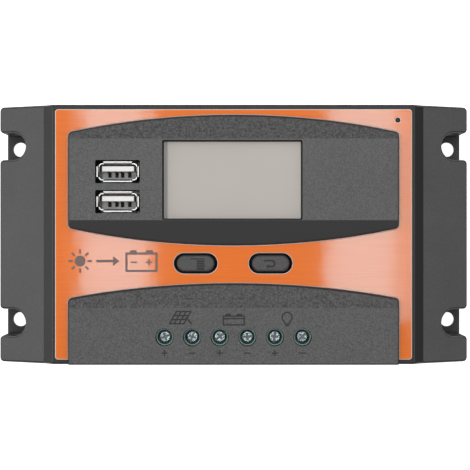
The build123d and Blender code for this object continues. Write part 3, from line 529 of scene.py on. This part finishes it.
def disc(x, y, radius):
    steps = 28
    turns = [2 * math.pi * i / steps for i in range(steps)]
    return [(x + radius * math.cos(t), y + radius * math.sin(t)) for t in turns]


def arc(x, y, radius, width, start, end, steps=16):
    """Curved stroke from one angle to another, in degrees."""
    angles = [math.radians(start + (end - start) * i / steps) for i in range(steps + 1)]
    outer = [(x + (radius + width / 2) * math.cos(a), y + (radius + width / 2) * math.sin(a)) for a in angles]
    inner = [(x + (radius - width / 2) * math.cos(a), y + (radius - width / 2) * math.sin(a)) for a in angles]
    return outer + inner[::-1]


def frame_strokes(x, y, length, height, width):
    """Rectangle drawn with four strokes."""
    left, right = x - length / 2, x + length / 2
    low, high = y - height / 2, y + height / 2
    corners = [(left, low), (right, low), (right, high), (left, high)]
    return [stroke(a, b, width) for a, b in zip(corners, corners[1:] + corners[:1])]


def sign(name, outlines, level, body, finish):
    """Slabs of one sign, standing a hair's breadth above the surface at this level."""
    mesh = bpy.data.meshes.new(name)
    shape = bmesh.new()
    for layer, outline in enumerate(outlines):
        lift = print_thickness * (1 + 0.02 * layer)
        top = [shape.verts.new((x * MM, y * MM, level + lift)) for x, y in outline]
        base = [shape.verts.new((x * MM, y * MM, level - print_thickness)) for x, y in outline]
        shape.faces.new(top)
        shape.faces.new(base[::-1])
        for i in range(len(top)):
            j = (i + 1) % len(top)
            shape.faces.new((top[i], base[i], base[j], top[j]))
    bmesh.ops.recalc_face_normals(shape, faces=shape.faces)
    shape.to_mesh(mesh)
    shape.free()
    mesh.materials.append(finish.material)
    piece = bpy.data.objects.new(name, mesh)
    bpy.context.scene.collection.objects.link(piece)
    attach(piece, body)


def sun_sign(x, y, width):
    turns = [math.pi / 4 * i for i in range(8)]
    rays = [bar(x + 3.3 * math.cos(t), y + 3.3 * math.sin(t), 1.5, width, math.degrees(t)) for t in turns]
    return [disc(x, y, 1.9)] + rays


def arrow_sign(x, y, length, width):
    tip = x + length / 2
    head = [(tip, y), (tip - 2.2, y + 1.7), (tip - 2.2, y - 1.7)]
    return [bar(x - 1.1, y, length - 2.2, width), head]


def battery_sign(x, y, length, height, width):
    cell = frame_strokes(x, y, length, height, width)
    posts = [bar(x + side * length * 0.27, y + height / 2 + width, length * 0.22, width) for side in (-1, 1)]
    plus = plus_sign(x + length * 0.25, y, height * 0.36, width * 0.7)
    minus = [bar(x - length * 0.25, y, height * 0.36, width * 0.7)]
    return cell + posts + plus + minus


def plus_sign(x, y, size, width):
    return [bar(x, y, size, width), bar(x, y, width, size)]


# Pictogram on the overlay, left of the buttons: from the sun to the battery.
sign_y = -9.2
sign("overlay_pictogram",
     sun_sign(-53.0, sign_y, 0.7)
     + arrow_sign(-43.4, sign_y, 8.0, 0.9)
     + battery_sign(-31.8, sign_y - 0.4, 10.4, 6.0, 0.75),
     face_top, "root", ink)

# Signs over the three pairs of terminals.
icon_width = 0.46


def solar_sign(x, y):
    """Slanted panel with cells and a leg."""
    lean = 0.36
    half_width, half_height = 2.5, 2.1

    def slanted(u, v):
        return (x - 0.6 + u * half_width + v * half_height * lean * 1.6, y + v * half_height)

    rows = [stroke(slanted(-1, v), slanted(1, v), icon_width) for v in (-1, -0.33, 0.33, 1)]
    columns = [stroke(slanted(u, -1), slanted(u, 1), icon_width) for u in (-1, -0.33, 0.33, 1)]
    leg = [stroke((x + 1.4, y), (x + 3.3, y - 2.1), icon_width * 1.1)]
    return rows + columns + leg


def cell_sign(x, y):
    case = frame_strokes(x, y - 0.4, 7.2, 3.0, icon_width)
    line = [bar(x, y + 0.25, 7.2, icon_width)]
    posts = [bar(x + side * 1.9, y + 1.5, 1.9, 0.75) for side in (-1, 1)]
    return case + line + posts


def bulb_sign(x, y):
    glass = [arc(x, y + 0.7, 1.7, icon_width, -55, 235, steps=28)]
    neck = [stroke((x + side * 0.98, y - 0.7), (x + side * 0.75, y - 1.5), icon_width) for side in (-1, 1)]
    base = [bar(x, y - 1.6, 1.8, icon_width), bar(x, y - 2.2, 1.2, icon_width)]
    return glass + neck + base


sign("panel_sign_solar", solar_sign(-17.75, -28.6), panel_top, "root", mark_ink)
sign("panel_sign_battery", cell_sign(0.1, -29.2), panel_top, "root", mark_ink)
sign("panel_sign_lamp", bulb_sign(18.4, -29.2), panel_top, "root", mark_ink)

# Polarity marks under the terminals: how far below each screw, in millimetres.
mark_drop = 5.4
for number in range(1, 7):
    low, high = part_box(f"terminal_screw_{number}")
    mark_x = (low.x + high.x) / 2 / MM
    mark_y = (low.y + high.y) / 2 / MM - mark_drop
    outlines = plus_sign(mark_x, mark_y, 2.1, 0.4) if number % 2 else [bar(mark_x, mark_y, 2.3, 0.4)]
    sign(f"polarity_mark_{number}", outlines, panel_top, "root", mark_ink)


def button_middle(use):
    low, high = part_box(f"button_{use}_cap")
    return (low.x + high.x) / 2 / MM, (low.y + high.y) / 2 / MM, high.z


# Signs on the button caps: a list, and a bent arrow.
x, y, level = button_middle("menu")
menu_rows = [bar(x + 0.65, y + 1.55, 4.8, 0.36)]
menu_rows += [bar(x + 1.7, y + 0.75 - 0.85 * i, 2.7, 0.64) for i in range(4)]
sign("menu_sign", menu_rows, level, "button_menu", mark_ink)

x, y, level = button_middle("enter")
hook = [
    bar(x - 0.9, y + 0.95, 2.6, 0.6),
    arc(x + 0.4, y - 0.05, 1.0, 0.6, -90, 90),
    bar(x - 0.1, y - 1.05, 1.2, 0.6),
]
head = [[(x - 1.7, y - 1.05), (x - 0.6, y - 0.35), (x - 0.6, y - 1.75)]]
sign("enter_sign", hook + head, level, "button_enter", mark_ink)


# ---------------------------------------------------------------------------
# Floor, light and camera
# ---------------------------------------------------------------------------
# The floor glows like a light table, so no shadow shows on it.
FLOOR_GLOW = 0.95
FLOOR_HALF = 3.0
# A little under the plate, so that the two don't lie in one plane.
FLOOR_LEVEL = -0.2 * MM


def pale_floor():
    mesh = bpy.data.meshes.new("floor")
    signs = [(-1, -1), (1, -1), (1, 1), (-1, 1)]
    corners = [(a * FLOOR_HALF, b * FLOOR_HALF, FLOOR_LEVEL) for a, b in signs]
    mesh.from_pydata(corners, [], [(0, 1, 2, 3)])
    floor = bpy.data.objects.new("floor", mesh)
    bpy.context.scene.collection.objects.link(floor)
    s = Surface("floor", (0.92, 0.92, 0.92), 0.8, specular=0.1)
    s.set("Emission Color", (1.0, 1.0, 1.0, 1.0))
    s.set("Emission Strength", FLOOR_GLOW)
    mesh.materials.append(s.material)
    floor.visible_diffuse = False
    floor.visible_glossy = False


def panel_light(name, place, aim, size, radiance):
    """Rectangular soft white light. Its power follows from its size and from how bright it looks."""
    data = bpy.data.lights.new(name, "AREA")
    data.shape = "RECTANGLE"
    data.size, data.size_y = size
    data.energy = radiance * math.pi * size[0] * size[1]
    light = bpy.data.objects.new(name, data)
    bpy.context.scene.collection.objects.link(light)
    light.location = place
    light.rotation_mode = "QUATERNION"
    light.rotation_quaternion = (Vector(aim) - Vector(place)).to_track_quat("-Z", "Y")
    light.visible_camera = False


# Two upright strips that mirror in the overlay: from and to along X, over the object.
STRIPS = {"left": (-0.106, -0.058), "right": (0.064, 0.112)}
STRIP_LENGTH = 0.46
STRIP_MIDDLE = 0.17
STRIP_RADIANCE = 8.0
# A narrow fainter strip that glints on the right edge of the overlay.
GLINT = (0.115, 0.127)
GLINT_RADIANCE = 4.5
# Soft lights that aim at the object: name, centre, size and how bright they look.
PANELS = [
    ("left_high", (-0.55, 0.0, 0.60), (0.5, 0.7), 0.71),
    ("left_low", (-0.80, 0.0, 0.22), (0.3, 0.8), 0.75),
    ("back_high", (0.0, 0.50, 0.60), (0.9, 0.4), 0.28),
    ("front_high", (0.0, -0.50, 0.60), (0.9, 0.4), 0.16),
]
WORLD_STRENGTH = 0.44


def studio():
    world = bpy.data.worlds.new("studio")
    world.use_nodes = True
    world.node_tree.nodes["Background"].inputs["Color"].default_value = (1.0, 1.0, 1.0, 1.0)
    world.node_tree.nodes["Background"].inputs["Strength"].default_value = WORLD_STRENGTH
    bpy.context.scene.world = world
    strips = [(f"strip_{side}", span, STRIP_RADIANCE) for side, span in STRIPS.items()]
    for name, (near, far), radiance in strips + [("glint", GLINT, GLINT_RADIANCE)]:
        centre = ((near + far) / 2, STRIP_MIDDLE, CAMERA_HEIGHT)
        below = (centre[0], centre[1], 0.0)
        panel_light(name, centre, below, (far - near, STRIP_LENGTH), radiance)
    for name, centre, size, radiance in PANELS:
        panel_light(name, centre, (0.0, 0.0, panel_top), size, radiance)


def camera():
    data = bpy.data.cameras.new("camera")
    data.lens = CAMERA_LENS
    data.sensor_width = CAMERA_SENSOR
    data.clip_start = 0.01
    data.clip_end = 50.0
    view = bpy.data.objects.new("camera", data)
    bpy.context.scene.collection.objects.link(view)
    view.location = (*CAMERA_OFFSET, CAMERA_HEIGHT)
    bpy.context.scene.camera = view


pale_floor()
studio()
camera()
bpy.context.scene.view_settings.view_transform = "Standard"
